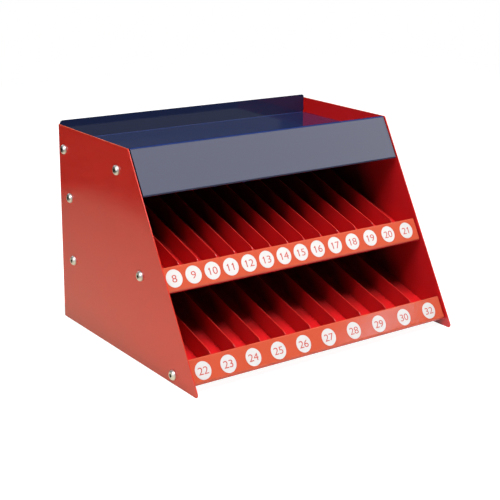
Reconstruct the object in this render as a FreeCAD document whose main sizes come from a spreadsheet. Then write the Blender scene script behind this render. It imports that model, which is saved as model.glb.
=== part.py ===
import FreeCAD, Part
import math
import os
import re

import Sketcher
from FreeCAD import Placement, Rotation, Vector

# Sloped sheet-metal rack for drive sockets: two side panels carry an open tool tray on top and
# two sloping shelves below it. Upright dividers part each shelf into bays that widen with the
# socket size, and a lip that is folded back over each shelf keeps the sockets in.
#
# Units are millimetres and degrees. +Z is up, X runs across the rack and the open front faces -Y.
# The origin is at the bottom centre of the bounding box, screw heads included. Pieces are drawn
# with the rear face of the side panels at y = 0, and shelf pieces in the frame of their own
# floor, whose origin is the outer corner of the fold between floor and lip: Y runs up the floor
# to the rear and Z is the floor's normal. Placements carry them to the rack.

SIZES = [
    # overall
    ("rack_width", 450, "over the outer faces of the side panels"),
    ("base_depth", 367.5, "rear edge to the sharp toe of a side panel"),
    ("side_height", 292, "height of the side panels"),
    ("face_angle", 30, "lean of the front from the vertical"),
    ("sheet", 1.2, "thickness of every sheet"),
    ("bend_radius", 0.8, "inside radius of a bend"),
    ("edge_setback", 2.4, "from a cut end of lip or fascia to the side panel"),
    ("notch_gap", 2, "relief notch beside the end of a bent flange"),
    # side panels
    ("toe_radius", 4.5, "lower front corner"),
    ("brow_radius", 3.5, "upper front corner"),
    ("rear_flange", 18, "width of the flange along the rear edge"),
    # tool tray
    ("tray_recess", 24, "tray floor below the top of the side panels"),
    ("tray_rise", 5, "rear wall of the tray above the side panels"),
    ("tray_corner", 4, "rounded upper corners of the rear wall"),
    ("rear_wall_gap", 1, "ends of the rear wall of the tray to the side panels"),
    ("crest_radius", 3.2, "outside radius of the fold over the front wall"),
    ("fascia_inset", 0.8, "fascia behind the front edges of the side panels"),
    ("fascia_drop", 59.3, "lower edge of the fascia below the top of the sides"),
    ("fascia_return", 9, "safety flange under the fascia"),
    ("tray_flange", 20, "height of the side flanges below the tray floor"),
    ("tray_flange_inset", 6, "ends of the side flanges from the tray walls"),
    ("tray_hole_drop", 8.9, "tray screws below the underside of the floor"),
    ("tray_rear_hole", 16.9, "rear tray screws from the rear face"),
    ("tray_front_hole", 30.5, "front tray screws from the sharp upper front corner"),
    # shelves
    ("lip_inset", 5, "lip behind the front edges of the side panels"),
    ("lip_length", 40, "lip from the fold corner to its top edge"),
    ("fold_radius", 2.4, "inside radius of the fold between lip and floor"),
    ("hem_length", 9, "length of the hem folded back along the lip"),
    ("hem_gap", 0.4, "gap inside the hem"),
    ("stop_height", 12, "rear flange of a shelf"),
    ("shelf_flange", 18, "height of the side flanges below the shelf floor"),
    ("flange_corner", 4, "rounded corners of the side flanges"),
    ("hole_drop", 10.6, "shelf screws below the underside of the floor"),
    ("hole_margin", 10, "front end of a side flange from its screw"),
    ("flange_rear_gap", 9, "rear end of a side flange from the rear corner"),
    ("wing_start", 0.6, "full floor width from the end of the fold"),
    ("wing_gap", 0.2, "floor edge to the side panel"),
    ("upper_fold_height", 114.6, "fold corner of the upper shelf above the ground"),
    ("upper_floor_angle", 18, "slope of the upper shelf"),
    ("upper_front_hole", 68.7, "front screw of the upper shelf along its floor"),
    ("upper_rear_hole", 34.1, "rear screw of the upper shelf from the rear end of its floor"),
    ("lower_fold_height", 8.6, "fold corner of the lower shelf above the ground"),
    ("lower_floor_angle", 17.2, "slope of the lower shelf"),
    ("lower_front_hole", 48.6, "front screw of the lower shelf along its floor"),
    ("lower_rear_hole", 39.7, "rear screw of the lower shelf from the rear end of its floor"),
    # dividers
    ("upper_first", 30.7, "inner face of the left side to the first upper divider"),
    ("upper_pitch", 29.75, "pitch of the narrowest upper bays"),
    ("upper_growth", 1.2, "growth of each wider upper bay"),
    ("lower_first", 39.45, "inner face of the left side to the first lower divider"),
    ("lower_pitch", 39.45, "pitch of the narrowest lower bay"),
    ("lower_growth", 1.4, "growth of each wider lower bay"),
    ("divider_height", 26, "height of a divider above its floor"),
    ("nose_radius", 12, "rounded front corner of a divider"),
    ("nose_gap", 3, "divider nose to the inner face of the lip"),
    ("tail_gap", 4, "divider tail to the rear flange of the shelf"),
    ("tab_length", 20, "length of a divider tab"),
    ("tab_inset", 40, "tab from the end of its divider"),
    ("tab_show", 0.6, "tab end below the underside of the floor"),
    ("slot_gap", 0.1, "clearance round a tab in its slot"),
    # back panel
    ("back_edge_gap", 0.5, "back panel to the side panels and to the tray"),
    ("back_foot", 4, "lower edge of the back panel above the ground"),
    # M8 button head screws and closed hexagon nuts
    ("shank_radius", 4, "screw shank"),
    ("head_radius", 7, "screw head"),
    ("head_height", 4.4, "screw head"),
    ("head_land", 3.4, "radius of the flat top of the head"),
    ("key_flats", 5, "hexagon socket across its flats"),
    ("key_depth", 2.6, "hexagon socket"),
    ("hole_gap", 0.3, "clearance of a screw in its holes"),
    ("nut_flats", 13, "nut across its flats"),
    ("nut_height", 8, "nut"),
]
EVEN_BAYS = {"upper": 8, "lower": 2}  # bays before the pitch starts to grow

doc = FreeCAD.newDocument("SocketRack")
sheet = doc.addObject("Spreadsheet::Sheet", "Sizes")
for row, (alias, number, meaning) in enumerate(SIZES, start=1):
    sheet.set(f"A{row}", str(number))
    sheet.set(f"B{row}", meaning)
    sheet.setAlias(f"A{row}", alias)
doc.recompute()

ALIAS = re.compile(r"\b(" + "|".join(alias for alias, _, _ in SIZES) + r")\b")
TOUCH = 1e-4  # how close an edge lies to the corner that it is picked by


def formula(text):
    """A formula over the names of SIZES, as an expression of this document."""
    return ALIAS.sub(r"Sizes.\1", text)


def value(text):
    return float(sheet.evalExpression(formula(text)))


def bind(thing, **formulas):
    """Ties properties to formulas; double underscores stand for the dots of a property path."""
    for name, text in formulas.items():
        thing.setExpression(name.replace("__", "."), formula(text))


# Places that several pieces share, as formulas over SIZES, with the rear face at y = 0

INNER = "(rack_width / 2 - sheet)"
LIP_END = f"({INNER} - edge_setback)"
TOE_SETBACK = "(toe_radius * (1 / tan((90 - face_angle) / 2) - 1))"
REAR = f"((base_depth - {TOE_SETBACK}) / 2)"
TOP_DEPTH = "(base_depth - side_height * tan(face_angle))"
BACK_FRONT = "(-2 * sheet)"  # front face of the back panel and of the tray's rear wall
TRAY_FLOOR = "(side_height - tray_recess)"
WALL = (
    "(-base_depth + (fascia_inset + crest_radius) / cos(face_angle)"
    " + (side_height - crest_radius) * tan(face_angle) + crest_radius)"
)
WALL_APEX = f"(({WALL} + base_depth - fascia_inset / cos(face_angle)) / tan(face_angle))"
HOLE_RADIUS = "(shank_radius + hole_gap)"
TRAY_HOLE_HEIGHT = f"({TRAY_FLOOR} - sheet - tray_hole_drop)"
HEM_THICKNESS = "(2 * sheet + hem_gap)"
GRIP = "(2 * sheet)"  # what a screw clamps: a side panel and the flange behind it


def fold_y(row):
    return f"(-base_depth + lip_inset / cos(face_angle) + {row}_fold_height * tan(face_angle))"


def lip_lean(row):
    """Lean of the lip from the normal of its floor."""
    return f"(face_angle + {row}_floor_angle)"


def fold_end(row):
    """End of the rounded fold along a shelf floor."""
    return f"((sheet + fold_radius) / tan((90 - {lip_lean(row)}) / 2))"


def floor_length(row):
    return f"(({BACK_FRONT} - {fold_y(row)}) / cos({row}_floor_angle))"


def flange_start(row):
    return f"({row}_front_hole - hole_margin)"


def flange_end(row):
    return f"({floor_length(row)} - flange_rear_gap)"


def nose(row, height):
    """Front edge of a divider at a height above the underside of the floor."""
    lean = lip_lean(row)
    return f"({height} * tan({lean}) + (sheet + nose_gap) / cos({lean}))"


def tail(row):
    return f"({floor_length(row)} - sheet - tail_gap)"


def divider_x(row, number):
    """Middle plane of a divider, counted from 1 at the left."""
    steps = number - 1
    wider = max(0, number - EVEN_BAYS[row])
    growths = wider * (wider + 1) / 2
    return f"(-{INNER} + {row}_first + {steps} * {row}_pitch + {growths} * {row}_growth)"


def divider_numbers(row):
    """Numbers of the dividers that leave room for a whole bay on their right."""
    count = 0
    while value(divider_x(row, count + 2)) < value(INNER):
        count += 1
    return range(1, count + 1)


def tab_starts(row):
    return [
        f"({nose(row, 'sheet')} + tab_inset)",
        f"({tail(row)} - tab_inset - tab_length)",
    ]


def floor_holes(row):
    """Screw places along a shelf floor, from its fold corner."""
    return [f"({floor_length(row)} - {row}_rear_hole)", f"{row}_front_hole"]


def side_holes():
    """Screw places on a side panel: the holder's name with the y and z of each screw."""
    tray_places = ["(-tray_rear_hole)", f"(tray_front_hole - {TOP_DEPTH})"]
    places = [("tray", y, TRAY_HOLE_HEIGHT) for y in tray_places]
    for row in ("upper", "lower"):
        angle = f"{row}_floor_angle"
        for along in floor_holes(row):
            y = f"({fold_y(row)} + {along} * cos({angle}) + hole_drop * sin({angle}))"
            z = f"({row}_fold_height + {along} * sin({angle}) - hole_drop * cos({angle}))"
            places.append((f"{row}_shelf", y, z))
    return places


# Sketches and features


def new_body(name):
    body = doc.addObject("PartDesign::Body", name)
    body.Label = name
    return body


def new_sketch(body, name, plane, offset="0"):
    """A sketch on an origin plane of its body, moved along the plane's normal."""
    sketch = body.newObject("Sketcher::SketchObject", name)
    support = [item for item in body.Origin.OriginFeatures if item.Role == plane][0]
    sketch.AttachmentSupport = (support, "")
    sketch.MapMode = "FlatFace"
    bind(sketch, AttachmentOffset__Base__z=f"{offset} * 1 mm")
    return sketch


def dimension(sketch, kind, text, *where):
    """A driving dimension that follows a formula."""
    number = value(text)
    if kind == "Angle":
        number = math.radians(number)
        text = f"({text}) * 1 deg"
    index = sketch.addConstraint(Sketcher.Constraint(kind, *where, number))
    sketch.setExpression(f"Constraints[{index}]", formula(text))


def locate(sketch, geometry, vertex, across, up):
    """Places a vertex from the sketch's origin."""
    dimension(sketch, "DistanceX", across, -1, 1, geometry, vertex)
    dimension(sketch, "DistanceY", up, -1, 1, geometry, vertex)


def closed_lines(sketch, points):
    """Lines round a closed outline; returns the number of the first."""
    vectors = [Vector(x, y, 0) for x, y in points]
    first = sketch.GeometryCount
    ends = vectors[1:] + vectors[:1]
    sketch.addGeometry([Part.LineSegment(a, b) for a, b in zip(vectors, ends)])
    for index in range(len(points)):
        following = first + (index + 1) % len(points)
        sketch.addConstraint(Sketcher.Constraint("Coincident", first + index, 2, following, 1))
    return first


def polygon(sketch, corners):
    """A closed outline whose corners are pairs of formulas."""
    first = closed_lines(sketch, [(value(x), value(y)) for x, y in corners])
    for index, (x, y) in enumerate(corners):
        locate(sketch, first + index, 1, x, y)


def circle(sketch, across, up, radius):
    centre = Vector(value(across), value(up), 0)
    index = sketch.addGeometry(Part.Circle(centre, Vector(0, 0, 1), value(radius)))
    dimension(sketch, "Radius", radius, index)
    locate(sketch, index, 3, across, up)


def hexagon(sketch, flats):
    """A hexagon round the origin, with corners on a construction circle."""
    radius = f"({flats} / 2 / cos(30))"
    size = value(radius)
    turns = [math.radians(60 * step) for step in range(6)]
    first = closed_lines(sketch, [(size * math.cos(a), size * math.sin(a)) for a in turns])
    guide = sketch.addGeometry(Part.Circle(Vector(), Vector(0, 0, 1), size), True)
    sketch.addConstraint(Sketcher.Constraint("Coincident", guide, 3, -1, 1))
    dimension(sketch, "Radius", radius, guide)
    for side in range(6):
        sketch.addConstraint(Sketcher.Constraint("PointOnObject", first + side, 1, guide))
    for side in range(1, 6):
        sketch.addConstraint(Sketcher.Constraint("Equal", first, first + side))
    sketch.addConstraint(Sketcher.Constraint("PointOnObject", first, 1, -1))


def bent_section(sketch, start, runs):
    """The section of a bent sheet, with sharp corners.

    The path follows one face of the sheet from start, in runs of a length and a heading, and the
    sheet lies on the path's left. Returns the corners on the path's face and on the other face.
    """
    thickness = value("sheet")
    headings = [math.radians(value(heading)) for _, heading in runs]
    path = [Vector(value(start[0]), value(start[1]), 0)]
    for (length, _), angle in zip(runs, headings):
        path.append(path[-1] + Vector(math.cos(angle), math.sin(angle), 0) * value(length))
    lefts = [Vector(-math.sin(angle), math.cos(angle), 0) for angle in headings]
    other = [path[0] + lefts[0] * thickness]
    for corner, before, after in zip(path[1:-1], lefts, lefts[1:]):
        half = before + after
        other.append(corner + half * (thickness / (1 + before.dot(after))))
    other.append(path[-1] + lefts[-1] * thickness)

    count = len(runs)
    closed_lines(sketch, [(p.x, p.y) for p in path + other[::-1]])
    locate(sketch, 0, 1, *start)
    for index, (length, heading) in enumerate(runs):
        facing = 2 * count - index
        dimension(sketch, "Distance", length, index)
        dimension(sketch, "Angle", heading, index)
        sketch.addConstraint(Sketcher.Constraint("Parallel", index, facing))
        dimension(sketch, "Distance", "sheet", facing, 1, index)
    sketch.addConstraint(Sketcher.Constraint("Perpendicular", count - 1, count))
    sketch.addConstraint(Sketcher.Constraint("Perpendicular", 0, 2 * count + 1))
    place = sketch.Placement
    return [place.multVec(p) for p in path], [place.multVec(p) for p in other]


def pad(body, sketch, length, symmetric=False, reverse=False):
    feature = body.newObject("PartDesign::Pad", sketch.Name + "_pad")
    feature.Profile = sketch
    feature.SideType = "Symmetric" if symmetric else "One side"
    feature.Reversed = reverse
    bind(feature, Length=length)
    doc.recompute()
    return feature


def cut(body, sketch, length=None):
    """A pocket: a blind one, or right through the body on both sides of the sketch."""
    before = body.Shape.Volume
    feature = body.newObject("PartDesign::Pocket", sketch.Name + "_cut")
    feature.Profile = sketch
    if length is None:
        feature.SideType = "Two sides"
        feature.Type = "ThroughAll"
        feature.Type2 = "ThroughAll"
    else:
        bind(feature, Length=length)
    doc.recompute()
    if body.Shape.Volume >= before:
        raise RuntimeError(f"{feature.Name} cuts nothing")
    return feature


def mirror_left(body, features, name):
    """Repeats features of the right side at the left."""
    feature = body.newObject("PartDesign::Mirrored", name)
    feature.Originals = features
    plane = [item for item in body.Origin.OriginFeatures if item.Role == "YZ_Plane"][0]
    feature.MirrorPlane = (plane, [""])
    body.Tip = feature
    doc.recompute()


def round_edges(body, name, radius, corners, direction):
    """Rounds each straight edge along direction that passes through one of the corners."""
    names = []
    for number, edge in enumerate(body.Shape.Edges, start=1):
        ends = [vertex.Point for vertex in edge.Vertexes]
        if len(ends) != 2 or edge.Curve.TypeId != "Part::GeomLine":
            continue
        if (ends[1] - ends[0]).normalize().cross(direction).Length > TOUCH:
            continue
        if any((corner - ends[0]).cross(direction).Length < TOUCH for corner in corners):
            names.append(f"Edge{number}")
    if not names:
        raise RuntimeError(f"{name} finds no edge")
    base = body.Tip
    feature = body.newObject("PartDesign::Fillet", name)
    feature.Base = (base, names)
    bind(feature, Radius=radius)
    doc.recompute()


def place_in_rack(body, row=None):
    """Moves a piece from the frame it is drawn in to the rack."""
    if row is None:
        bind(body, Placement__Base__y=REAR)
        return
    body.Placement = Placement(Vector(), Rotation(Vector(1, 0, 0), value(f"{row}_floor_angle")))
    bind(
        body,
        Placement__Base__y=f"{REAR} + {fold_y(row)}",
        Placement__Base__z=f"{row}_fold_height",
        Placement__Rotation__Angle=f"{row}_floor_angle * 1 deg",
    )


X, Y, Z = Vector(1, 0, 0), Vector(0, 1, 0), Vector(0, 0, 1)


# Side panels: flat plates with one flange turned inwards along the rear edge


def side_panel(name, side):
    """side is -1 for the left panel and 1 for the right one."""
    body = new_body(name)
    outer = f"({side} * rack_width / 2)"
    outline = new_sketch(body, name + "_outline", "YZ_Plane", outer)
    corners = [
        ("0", "0"),
        ("-base_depth", "0"),
        (f"-{TOP_DEPTH}", "side_height"),
        ("0", "side_height"),
    ]
    polygon(outline, corners)
    pad(body, outline, "sheet", reverse=side > 0)
    flange = new_sketch(body, name + "_flange", "XZ_Plane")
    inward = f"({side} * (rack_width / 2 - rear_flange))"
    polygon(flange, [(outer, "0"), (inward, "0"), (inward, "side_height"), (outer, "side_height")])
    pad(body, flange, "sheet")
    toe, brow = [Vector(0, value(y), value(z)) for y, z in corners[1:3]]
    round_edges(body, name + "_toe", "toe_radius", [toe], X)
    round_edges(body, name + "_brow", "brow_radius", [brow], X)
    bend = Vector(value(outer), 0, 0)
    inside = bend + Vector(-side * value("sheet"), -value("sheet"), 0)
    round_edges(body, name + "_bend_outside", "bend_radius + sheet", [bend], Z)
    round_edges(body, name + "_bend_inside", "bend_radius", [inside], Z)
    holes = new_sketch(body, name + "_holes", "YZ_Plane")
    for _, y, z in side_holes():
        circle(holes, y, z, HOLE_RADIUS)
    cut(body, holes)
    place_in_rack(body)
    return body


# Back panel: a flat sheet spot-welded to the front of the two rear flanges


def back_panel():
    body = new_body("back_panel")
    outline = new_sketch(body, "back_outline", "XZ_Plane", "sheet")
    half = f"({INNER} - back_edge_gap)"
    top = f"({TRAY_FLOOR} - sheet - back_edge_gap)"
    corners = [
        (f"-{half}", "back_foot"),
        (half, "back_foot"),
        (half, top),
        (f"-{half}", top),
    ]
    polygon(outline, corners)
    pad(body, outline, "sheet")
    place_in_rack(body)
    return body


# Side flanges turned down from a floor, on both sides, for the screws


def side_flanges(body, name, top, height, start, end):
    """top is the floor's upper face, start and end the flange's ends along Y, start in front."""
    section = new_sketch(body, name + "_flange", "XZ_Plane", f"(-{start})")
    reach = "(edge_setback + sheet)"
    path, other = bent_section(
        section,
        (INNER, f"({top} - sheet - {height})"),
        [(f"({height} + sheet)", "90"), (reach, "180")],
    )
    features = [pad(body, section, f"({end} - {start})", reverse=True)]
    return features, path, other


def finish_flanges(body, name, path, other, start, end):
    """Bends and rounded lower corners of the side flanges, after they are mirrored."""

    def both(point):
        return [point, Vector(-point.x, point.y, point.z)]

    round_edges(body, name + "_outside", "bend_radius + sheet", both(path[1]), Y)
    round_edges(body, name + "_inside", "bend_radius", both(other[1]), Y)
    ends = [Vector(0, value(place), path[0].z) for place in (start, end)]
    round_edges(body, name + "_corners", "flange_corner", ends, X)


# Tool tray: one sheet bent into rear wall, floor, front wall, crest, fascia and safety flange


def top_tray():
    body = new_body("top_tray")
    section = new_sketch(body, "tray_section", "YZ_Plane")
    path, other = bent_section(
        section,
        (BACK_FRONT, "(side_height + tray_rise)"),
        [
            ("(tray_rise + tray_recess)", "-90"),
            (f"({BACK_FRONT} - {WALL})", "180"),
            (f"({WALL_APEX} - {TRAY_FLOOR})", "90"),
            (f"(({WALL_APEX} - side_height + fascia_drop) / cos(face_angle))", "(-90 - face_angle)"),
            ("fascia_return", "0"),
        ],
    )
    pad(body, section, f"(2 * {LIP_END})", symmetric=True)
    round_edges(body, "tray_inside", "bend_radius", [path[1], path[2], other[4]], X)
    round_edges(body, "tray_outside", "bend_radius + sheet", [other[1], other[2], path[4]], X)
    round_edges(body, "crest_outside", "crest_radius", [path[3]], X)
    round_edges(body, "crest_inside", "crest_radius - sheet", [other[3]], X)
    ears = new_sketch(body, "tray_ears", "XZ_Plane", f"(-{BACK_FRONT} - sheet)")
    ear_root, ear_tip = f"({LIP_END} - sheet)", f"({INNER} - rear_wall_gap)"
    ear_foot, ear_top = f"({TRAY_FLOOR} + bend_radius + notch_gap)", "(side_height + tray_rise)"
    polygon(
        ears,
        [(ear_root, ear_foot), (ear_tip, ear_foot), (ear_tip, ear_top), (ear_root, ear_top)],
    )
    ear_pad = pad(body, ears, "sheet")
    mirror_left(body, [ear_pad], "tray_ears_left")
    end = value(ear_tip)
    tips = [Vector(x, 0, path[0].z) for x in (-end, end)]
    round_edges(body, "tray_rear_corners", "tray_corner", tips, Y)
    start = f"({WALL} + tray_flange_inset)"
    rear = f"({BACK_FRONT} - tray_flange_inset)"
    features, path, other = side_flanges(body, "tray", TRAY_FLOOR, "tray_flange", start, rear)
    mirror_left(body, features, "tray_flanges")
    finish_flanges(body, "tray_flange", path, other, start, rear)
    holes = new_sketch(body, "tray_holes", "YZ_Plane")
    for holder, y, z in side_holes():
        if holder == "tray":
            circle(holes, y, z, HOLE_RADIUS)
    cut(body, holes)
    place_in_rack(body)
    return body


# Shelves: one sheet bent into a hemmed lip, a sloping floor and an upright rear flange


def shelf(row):
    name = f"{row}_shelf"
    body = new_body(name)
    lean = lip_lean(row)
    section = new_sketch(body, name + "_section", "YZ_Plane")
    hem_foot = "(lip_length - hem_length)"
    path, other = bent_section(
        section,
        (
            f"({hem_foot} * sin({lean}) + {HEM_THICKNESS} * cos({lean}))",
            f"({hem_foot} * cos({lean}) - {HEM_THICKNESS} * sin({lean}))",
        ),
        [
            ("hem_length", f"(90 - {lean})"),
            (HEM_THICKNESS, f"(180 - {lean})"),
            ("lip_length", f"(-90 - {lean})"),
            (floor_length(row), "0"),
            ("stop_height", f"(90 - {row}_floor_angle)"),
        ],
    )
    pad(body, section, f"(2 * {LIP_END})", symmetric=True)
    round_edges(body, name + "_hem", f"0.49 * {HEM_THICKNESS}", path[1:3], X)
    round_edges(body, name + "_fold_outside", "fold_radius + sheet", path[3:4], X)
    round_edges(body, name + "_fold_inside", "fold_radius", other[3:4], X)
    round_edges(body, name + "_stop_outside", "bend_radius + sheet", path[4:5], X)
    round_edges(body, name + "_stop_inside", "bend_radius", other[4:5], X)

    start, end = flange_start(row), flange_end(row)
    wing = new_sketch(body, name + "_wing", "XY_Plane")
    wing_root, wing_tip = f"({LIP_END} - sheet)", f"({INNER} - wing_gap)"
    wing_front, wing_end = f"({fold_end(row)} + wing_start)", f"({start} - notch_gap)"
    polygon(
        wing,
        [
            (wing_root, wing_front),
            (wing_tip, wing_front),
            (wing_tip, wing_end),
            (wing_root, wing_end),
        ],
    )
    wing_pad = pad(body, wing, "sheet")
    features, path, other = side_flanges(body, name, "sheet", "shelf_flange", start, end)
    mirror_left(body, [wing_pad] + features, name + "_flanges")
    finish_flanges(body, name + "_flange", path, other, start, end)

    holes = new_sketch(body, name + "_holes", "YZ_Plane")
    for along in floor_holes(row):
        circle(holes, along, "(-hole_drop)", HOLE_RADIUS)
    cut(body, holes)
    for number in divider_numbers(row):
        slots = new_sketch(body, f"{name}_slots_{number:02d}", "XY_Plane")
        middle = divider_x(row, number)
        left, right = [f"({middle} {sign} (sheet / 2 + slot_gap))" for sign in ("-", "+")]
        for tab in tab_starts(row):
            front, rear = f"({tab} - slot_gap)", f"({tab} + tab_length + slot_gap)"
            polygon(slots, [(left, front), (right, front), (right, rear), (left, rear)])
        cut(body, slots)
    place_in_rack(body, row)
    return body


# Dividers: flat plates that stand on the floor, with two tabs through it


def divider(row, number):
    name = f"{row}_divider_{number:02d}"
    body = new_body(name)
    top, tip = "(sheet + divider_height)", "(sheet + fold_radius)"
    outline = new_sketch(body, name + "_outline", "YZ_Plane")
    corners = [(nose(row, tip), tip), (nose(row, tip), "sheet")]
    for tab in tab_starts(row):
        far = f"({tab} + tab_length)"
        corners += [(tab, "sheet"), (tab, "-tab_show"), (far, "-tab_show"), (far, "sheet")]
    corners += [(tail(row), "sheet"), (tail(row), top), (nose(row, top), top)]
    polygon(outline, corners)
    pad(body, outline, "sheet", symmetric=True)
    front = Vector(0, value(nose(row, top)), value(top))
    round_edges(body, name + "_nose", "nose_radius", [front], X)
    place_in_rack(body, row)
    bind(body, Placement__Base__x=divider_x(row, number))
    return body


# Fasteners: one screw and one nut are drawn with the head's seat at z = 0 and then repeated


def button_screw():
    body = new_body("button_screw")
    outline = new_sketch(body, "screw_outline", "XZ_Plane")
    corners = [
        ("0", f"-{GRIP}"),
        ("shank_radius", f"-{GRIP}"),
        ("shank_radius", "0"),
        ("head_radius", "0"),
        ("head_land", "head_height"),
        ("0", "head_height"),
    ]
    polygon(outline, corners)
    turned = body.newObject("PartDesign::Revolution", "screw_turned")
    turned.Profile = outline
    turned.ReferenceAxis = (outline, ["V_Axis"])
    turned.Angle = 360
    doc.recompute()
    key = new_sketch(body, "screw_key", "XY_Plane", "head_height")
    hexagon(key, "key_flats")
    cut(body, key, "key_depth")
    return body


def closed_nut():
    body = new_body("closed_nut")
    outline = new_sketch(body, "nut_outline", "XY_Plane")
    hexagon(outline, "nut_flats")
    pad(body, outline, "nut_height", reverse=True)
    return body


def fastener_group(name, original, depth, places):
    """Copies of one fastener on both side panels, each at a depth below their outer faces."""
    links = []
    for side in (-1, 1):
        for number, (y, z) in enumerate(places, start=1):
            link = doc.addObject("App::Link", f"{name}_{'left' if side < 0 else 'right'}_{number}")
            link.LinkedObject = original
            link.LinkPlacement = Placement(Vector(), Rotation(Z, X * side))
            bind(
                link,
                LinkPlacement__Base__x=f"{side} * (rack_width / 2 - {depth})",
                LinkPlacement__Base__y=y,
                LinkPlacement__Base__z=z,
            )
            links.append(link)
    group = doc.addObject("Part::Compound", name)
    group.Label = name
    group.Links = links
    bind(group, Placement__Base__y=REAR)
    return group


def fasteners():
    screw, nut = button_screw(), closed_nut()
    groups = []
    for holder in ("tray", "upper_shelf", "lower_shelf"):
        places = [(y, z) for name, y, z in side_holes() if name == holder]
        groups.append(fastener_group(f"{holder}_screws", screw, "0", places))
        groups.append(fastener_group(f"{holder}_nuts", nut, GRIP, places))
    return groups


# The whole rack

nodes = [side_panel("side_panel_left", -1), side_panel("side_panel_right", 1), back_panel()]
nodes.append(top_tray())
for row in ("upper", "lower"):
    nodes.append(shelf(row))
    nodes += [divider(row, number) for number in divider_numbers(row)]
nodes += fasteners()
doc.recompute()

for item in doc.Objects:
    if "Invalid" in item.State or "Error" in item.State:
        raise RuntimeError(f"{item.Name} failed: {item.State}")
for node in nodes:
    if node.Shape.isNull() or not node.Shape.isValid():
        raise RuntimeError(f"{node.Label} has no valid shape")

os.makedirs("parts", exist_ok=True)
for node in nodes:
    node.Shape.exportStep(os.path.join("parts", node.Label + ".step"))
    box = node.Shape.BoundBox
    print(
        f"{node.Label}: {len(node.Shape.Solids)} solid(s), {node.Shape.Volume:.0f} mm3,"
        f" {box.XLength:.1f} x {box.YLength:.1f} x {box.ZLength:.1f} mm"
    )
whole = FreeCAD.BoundBox()
for node in nodes:
    whole.add(node.Shape.BoundBox)
print(f"whole: x {whole.XMin:.2f} {whole.XMax:.2f}, y {whole.YMin:.2f} {whole.YMax:.2f},", end=" ")
print(f"z {whole.ZMin:.2f} {whole.ZMax:.2f}")
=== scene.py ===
# %% [markdown]
# # A sloped bench rack for drive sockets
#
# The rack is folded from sheet steel. Two red side panels carry a navy tool tray and two red
# shelves, and thin dividers part the shelves into bays that widen from left to right. The steel
# parts come ready made from the CAD frame, so this lesson is about finish: powder coat, bright
# zinc screws, vinyl number labels and a soft studio light.
#
# Everything is in metres. +Z is up, the open front faces -Y, and the origin lies on the ground
# under the middle of the rack.

# %% Load the rack
import math

import bmesh
import bpy
from mathutils import Euler, Matrix, Vector


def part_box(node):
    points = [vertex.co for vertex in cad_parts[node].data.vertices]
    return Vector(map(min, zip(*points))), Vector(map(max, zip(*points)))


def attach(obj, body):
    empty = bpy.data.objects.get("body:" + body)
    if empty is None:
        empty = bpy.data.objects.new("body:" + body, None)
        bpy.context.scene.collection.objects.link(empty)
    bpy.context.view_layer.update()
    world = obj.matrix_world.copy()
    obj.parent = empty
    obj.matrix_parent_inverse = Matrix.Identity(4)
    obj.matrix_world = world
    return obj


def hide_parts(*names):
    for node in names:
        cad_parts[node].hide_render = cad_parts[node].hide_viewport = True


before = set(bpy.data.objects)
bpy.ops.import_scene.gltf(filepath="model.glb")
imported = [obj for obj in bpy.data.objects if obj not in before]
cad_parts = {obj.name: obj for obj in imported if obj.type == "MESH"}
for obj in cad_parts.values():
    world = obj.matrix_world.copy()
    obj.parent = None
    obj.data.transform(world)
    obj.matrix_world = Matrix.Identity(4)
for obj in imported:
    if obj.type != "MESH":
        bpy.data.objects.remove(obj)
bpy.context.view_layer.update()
MM = 0.001
BODY = "root"

# %% [markdown]
# ## The camera
#
# A long lens from above the left front corner keeps the rack's edges nearly parallel, which shows
# its proportions well. The camera is placed by its position and three turns, because a tracking
# constraint would level the horizon, and here the camera is rolled by about a degree.

# %% Place the camera
CAMERA_PLACE = (-0.95127, -1.28294, 0.60830)
CAMERA_TURNS = (72.7321, -0.9056, -35.8865)  # degrees about X, Y and Z
LENS = 81.96  # mm
SENSOR = 36  # mm

camera_data = bpy.data.cameras.new("catalogue_camera")
camera_data.lens = LENS
camera_data.sensor_width = SENSOR
camera = bpy.data.objects.new("catalogue_camera", camera_data)
camera.location = CAMERA_PLACE
camera.rotation_euler = Euler([math.radians(turn) for turn in CAMERA_TURNS])
bpy.context.scene.collection.objects.link(camera)
bpy.context.scene.camera = camera
bpy.context.scene.view_settings.view_transform = "Standard"
print("camera at", CAMERA_PLACE, "lens", LENS)

# %% [markdown]
# ## Helpers for node materials
#
# Each finish below is a small shader graph. A few helpers keep the graphs short to read: they add
# a node and feed its sockets, do a step of arithmetic, blend two colours, turn one range of
# numbers into another, and start a material with its shader and its coordinates. A value that is
# the same all over a surface is set straight on the shader's socket. Only what varies from place
# to place is linked.


# %% Helpers for nodes
def feed(tree, socket, given):
    """Links a socket to another one, or sets it to a plain value."""
    if isinstance(given, bpy.types.NodeSocket):
        tree.links.new(given, socket)
    else:
        socket.default_value = given


def add_node(tree, kind, **sockets):
    """Adds a shader node and feeds its sockets by name; underscores stand for spaces."""
    node = tree.nodes.new(kind)
    for name, given in sockets.items():
        feed(tree, node.inputs[name.replace("_", " ")], given)
    return node


def add_math(tree, operation, *values, kind="ShaderNodeMath", output="Value"):
    """One step of arithmetic on linked or plain values."""
    node = tree.nodes.new(kind)
    node.operation = operation
    for socket, given in zip(node.inputs, values):
        feed(tree, socket, given)
    return node.outputs[output]


def vector_math(tree, operation, *values, output="Vector"):
    """One step of arithmetic on vectors."""
    return add_math(tree, operation, *values, kind="ShaderNodeVectorMath", output=output)


def split_axes(tree, vector):
    """The X, Y and Z of a vector, as sockets."""
    return add_node(tree, "ShaderNodeSeparateXYZ", Vector=vector).outputs


print("node helpers ready")


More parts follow.
